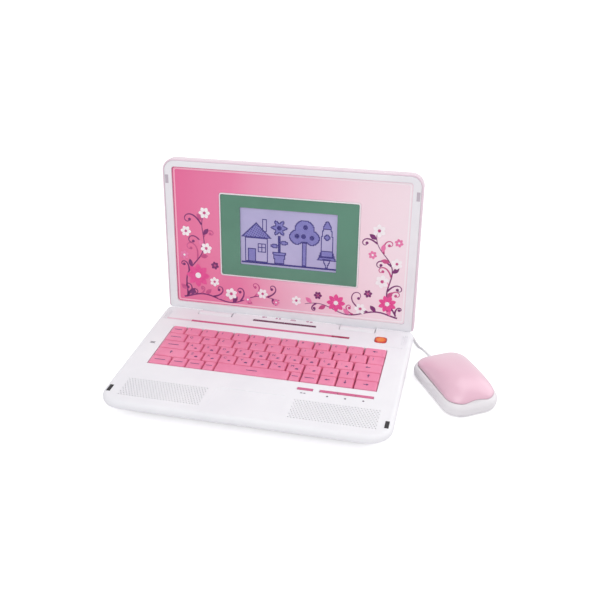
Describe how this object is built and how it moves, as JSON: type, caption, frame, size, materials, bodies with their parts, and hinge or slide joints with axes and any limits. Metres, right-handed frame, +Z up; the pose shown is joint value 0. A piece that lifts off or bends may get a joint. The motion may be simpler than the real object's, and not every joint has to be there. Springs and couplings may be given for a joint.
{
  "type": "toy laptop computer",
  "caption": "Child's toy laptop with a hinged screen lid, press keys, thin deck buttons, sound grilles and a corded click mouse.",
  "frame": {"origin": "on the table under the middle of the base, 1.5 mm below the flat underside", "axes": "+Z up, +X to the right of a person at the keys, +Y away from that person toward the lid"},
  "size_m": [0.3866, 0.2502, 0.2009],
  "materials": {
    "case_white": "satin",
    "case_pink": "gloss",
    "cell_metal": "printed sleeve",
    "contact_metal": "plated",
    "board_green": "matte",
    "dome_rubber": "matte",
    "speaker_metal": "matte",
    "foot_rubber": "matte",
    "screw_steel": "plated",
    "accent_pink": "gloss",
    "lamp_red": "gloss",
    "power_orange": "gloss",
    "function_purple": "gloss",
    "key_pink": "satin",
    "panel_print": "printed",
    "rim_white": "gloss",
    "window_green": "printed window",
    "display_lavender": "display",
    "pad_grey": "matte",
    "mouse_white": "satin",
    "mouse_pink": "gloss",
    "lens_clear": "clear",
    "glide_dark": "slick",
    "cord_grey": "matte",
    "tie_dark": "matte"
  },
  "bodies": {
    "base": {"base_upper_case": "case_white", "base_lower_case": "case_white", "battery_door": "case_white", "batteries": "cell_metal", "battery_contacts": "contact_metal", "main_board": "board_green", "key_board": "board_green", "dome_mat": "dome_rubber", "loudspeaker": "speaker_metal", "rubber_feet": "foot_rubber", "case_screws": "screw_steel", "battery_door_screw": "screw_steel", "hinge_pins": "screw_steel", "deck_pads": "foot_rubber", "accent_strip": "accent_pink", "pilot_window": "lamp_red", "button_boards": "board_green", "cord_gland": "cord_grey", "cord_to_coil": "cord_grey", "cord_coil": "cord_grey", "cord_tie": "tie_dark", "cord_to_mouse": "cord_grey"},
    "lid": {"lid_front_bezel": "case_white", "lid_rear_cover": "case_pink", "screen_panel": "panel_print", "screen_frame": "rim_white", "screen_window": "window_green", "lcd_module": "display_lavender", "lid_screws": "screw_steel", "lid_pads": "pad_grey"},
    "mouse": {"mouse_bottom_shell": "mouse_white", "mouse_board": "board_green", "mouse_lens": "lens_clear", "mouse_glides": "glide_dark", "mouse_screw": "screw_steel", "mouse_strain_relief": "cord_grey"},
    "mouse_button": {"mouse_top_shell": "mouse_pink"},
    "key_row_1": {"key_row_1": "key_pink"},
    "key_row_2": {"key_row_2": "key_pink"},
    "key_row_3": {"key_row_3": "key_pink"},
    "key_row_4": {"key_row_4": "key_pink"},
    "key_row_5": {"key_row_5": "key_pink"},
    "space_bar": {"space_bar": "key_pink"},
    "enter_key": {"enter_key": "key_pink"},
    "backspace_key": {"backspace_key": "key_pink"},
    "left_shift_key": {"left_shift_key": "key_pink"},
    "right_shift_key": {"right_shift_key": "key_pink"},
    "arrow_up_key": {"arrow_up_key": "key_pink"},
    "arrow_left_key": {"arrow_left_key": "key_pink"},
    "arrow_down_key": {"arrow_down_key": "key_pink"},
    "arrow_right_key": {"arrow_right_key": "key_pink"},
    "power_button": {"power_button": "power_orange"},
    "option_button_1": {"option_button_1": "accent_pink"},
    "option_button_2": {"option_button_2": "accent_pink"},
    "option_button_3": {"option_button_3": "accent_pink"},
    "option_button_4": {"option_button_4": "accent_pink"},
    "function_button_1": {"function_button_1": "function_purple"},
    "function_button_2": {"function_button_2": "function_purple"},
    "function_button_3": {"function_button_3": "function_purple"},
    "function_button_4": {"function_button_4": "function_purple"}
  },
  "joints": [
    {"name": "lid_hinge", "type": "hinge", "parent": "base", "child": "lid", "pos_m": [0, 0.09, 0.0193], "axis": [1, 0, 0], "range_deg": [-12, 96.8]},
    {"name": "key_row_1_press", "type": "slide", "parent": "base", "child": "key_row_1", "axis": [0, 0, 1], "range_m": [-0.0015, 0], "stiffness_N_per_m": 300, "springref_m": 0.002, "deforming": ["dome_mat"]},
    {"name": "key_row_2_press", "type": "slide", "parent": "base", "child": "key_row_2", "axis": [0, 0, 1], "range_m": [-0.0015, 0], "stiffness_N_per_m": 300, "springref_m": 0.002, "deforming": ["dome_mat"]},
    {"name": "key_row_3_press", "type": "slide", "parent": "base", "child": "key_row_3", "axis": [0, 0, 1], "range_m": [-0.0015, 0], "stiffness_N_per_m": 300, "springref_m": 0.002, "deforming": ["dome_mat"]},
    {"name": "key_row_4_press", "type": "slide", "parent": "base", "child": "key_row_4", "axis": [0, 0, 1], "range_m": [-0.0015, 0], "stiffness_N_per_m": 300, "springref_m": 0.002, "deforming": ["dome_mat"]},
    {"name": "key_row_5_press", "type": "slide", "parent": "base", "child": "key_row_5", "axis": [0, 0, 1], "range_m": [-0.0015, 0], "stiffness_N_per_m": 300, "springref_m": 0.002, "deforming": ["dome_mat"]},
    {"name": "space_bar_press", "type": "slide", "parent": "base", "child": "space_bar", "axis": [0, 0, 1], "range_m": [-0.0015, 0], "stiffness_N_per_m": 150, "springref_m": 0.002, "deforming": ["dome_mat"]},
    {"name": "enter_key_press", "type": "slide", "parent": "base", "child": "enter_key", "axis": [0, 0, 1], "range_m": [-0.0015, 0], "stiffness_N_per_m": 150, "springref_m": 0.002, "deforming": ["dome_mat"]},
    {"name": "backspace_key_press", "type": "slide", "parent": "base", "child": "backspace_key", "axis": [0, 0, 1], "range_m": [-0.0015, 0], "stiffness_N_per_m": 150, "springref_m": 0.002, "deforming": ["dome_mat"]},
    {"name": "left_shift_key_press", "type": "slide", "parent": "base", "child": "left_shift_key", "axis": [0, 0, 1], "range_m": [-0.0015, 0], "stiffness_N_per_m": 150, "springref_m": 0.002, "deforming": ["dome_mat"]},
    {"name": "right_shift_key_press", "type": "slide", "parent": "base", "child": "right_shift_key", "axis": [0, 0, 1], "range_m": [-0.0015, 0], "stiffness_N_per_m": 150, "springref_m": 0.002, "deforming": ["dome_mat"]},
    {"name": "arrow_up_key_press", "type": "slide", "parent": "base", "child": "arrow_up_key", "axis": [0, 0, 1], "range_m": [-0.0015, 0], "stiffness_N_per_m": 150, "springref_m": 0.002, "deforming": ["dome_mat"]},
    {"name": "arrow_left_key_press", "type": "slide", "parent": "base", "child": "arrow_left_key", "axis": [0, 0, 1], "range_m": [-0.0015, 0], "stiffness_N_per_m": 150, "springref_m": 0.002, "deforming": ["dome_mat"]},
    {"name": "arrow_down_key_press", "type": "slide", "parent": "base", "child": "arrow_down_key", "axis": [0, 0, 1], "range_m": [-0.0015, 0], "stiffness_N_per_m": 150, "springref_m": 0.002, "deforming": ["dome_mat"]},
    {"name": "arrow_right_key_press", "type": "slide", "parent": "base", "child": "arrow_right_key", "axis": [0, 0, 1], "range_m": [-0.0015, 0], "stiffness_N_per_m": 150, "springref_m": 0.002, "deforming": ["dome_mat"]},
    {"name": "power_button_press", "type": "slide", "parent": "base", "child": "power_button", "axis": [0, 0, 1], "range_m": [-0.0008, 0], "stiffness_N_per_m": 200, "springref_m": 0.0015},
    {"name": "option_button_1_press", "type": "slide", "parent": "base", "child": "option_button_1", "axis": [0, 0, 1], "range_m": [-0.0008, 0], "stiffness_N_per_m": 200, "springref_m": 0.0015},
    {"name": "option_button_2_press", "type": "slide", "parent": "base", "child": "option_button_2", "axis": [0, 0, 1], "range_m": [-0.0008, 0], "stiffness_N_per_m": 200, "springref_m": 0.0015},
    {"name": "option_button_3_press", "type": "slide", "parent": "base", "child": "option_button_3", "axis": [0, 0, 1], "range_m": [-0.0008, 0], "stiffness_N_per_m": 200, "springref_m": 0.0015},
    {"name": "option_button_4_press", "type": "slide", "parent": "base", "child": "option_button_4", "axis": [0, 0, 1], "range_m": [-0.0008, 0], "stiffness_N_per_m": 200, "springref_m": 0.0015},
    {"name": "function_button_1_press", "type": "slide", "parent": "base", "child": "function_button_1", "axis": [0, 0, 1], "range_m": [-0.0008, 0], "stiffness_N_per_m": 200, "springref_m": 0.0015},
    {"name": "function_button_2_press", "type": "slide", "parent": "base", "child": "function_button_2", "axis": [0, 0, 1], "range_m": [-0.0008, 0], "stiffness_N_per_m": 200, "springref_m": 0.0015},
    {"name": "function_button_3_press", "type": "slide", "parent": "base", "child": "function_button_3", "axis": [0, 0, 1], "range_m": [-0.0008, 0], "stiffness_N_per_m": 200, "springref_m": 0.0015},
    {"name": "function_button_4_press", "type": "slide", "parent": "base", "child": "function_button_4", "axis": [0, 0, 1], "range_m": [-0.0008, 0], "stiffness_N_per_m": 200, "springref_m": 0.0015},
    {"name": "mouse_glide", "type": "slide", "parent": "base", "child": "mouse", "axis": [-0.5284, 0.849, 0], "range_m": [-0.01, 0.01], "deforming": ["cord_to_mouse"]},
    {"name": "mouse_click", "type": "hinge", "parent": "mouse", "child": "mouse_button", "pos_m": [0.21688, 0.00024, 0.0144], "axis": [-0.849, -0.5284, 0], "range_deg": [0, 0.53], "stiffness_Nm_per_rad": 1.5, "springref_deg": -1.15}
  ]
}
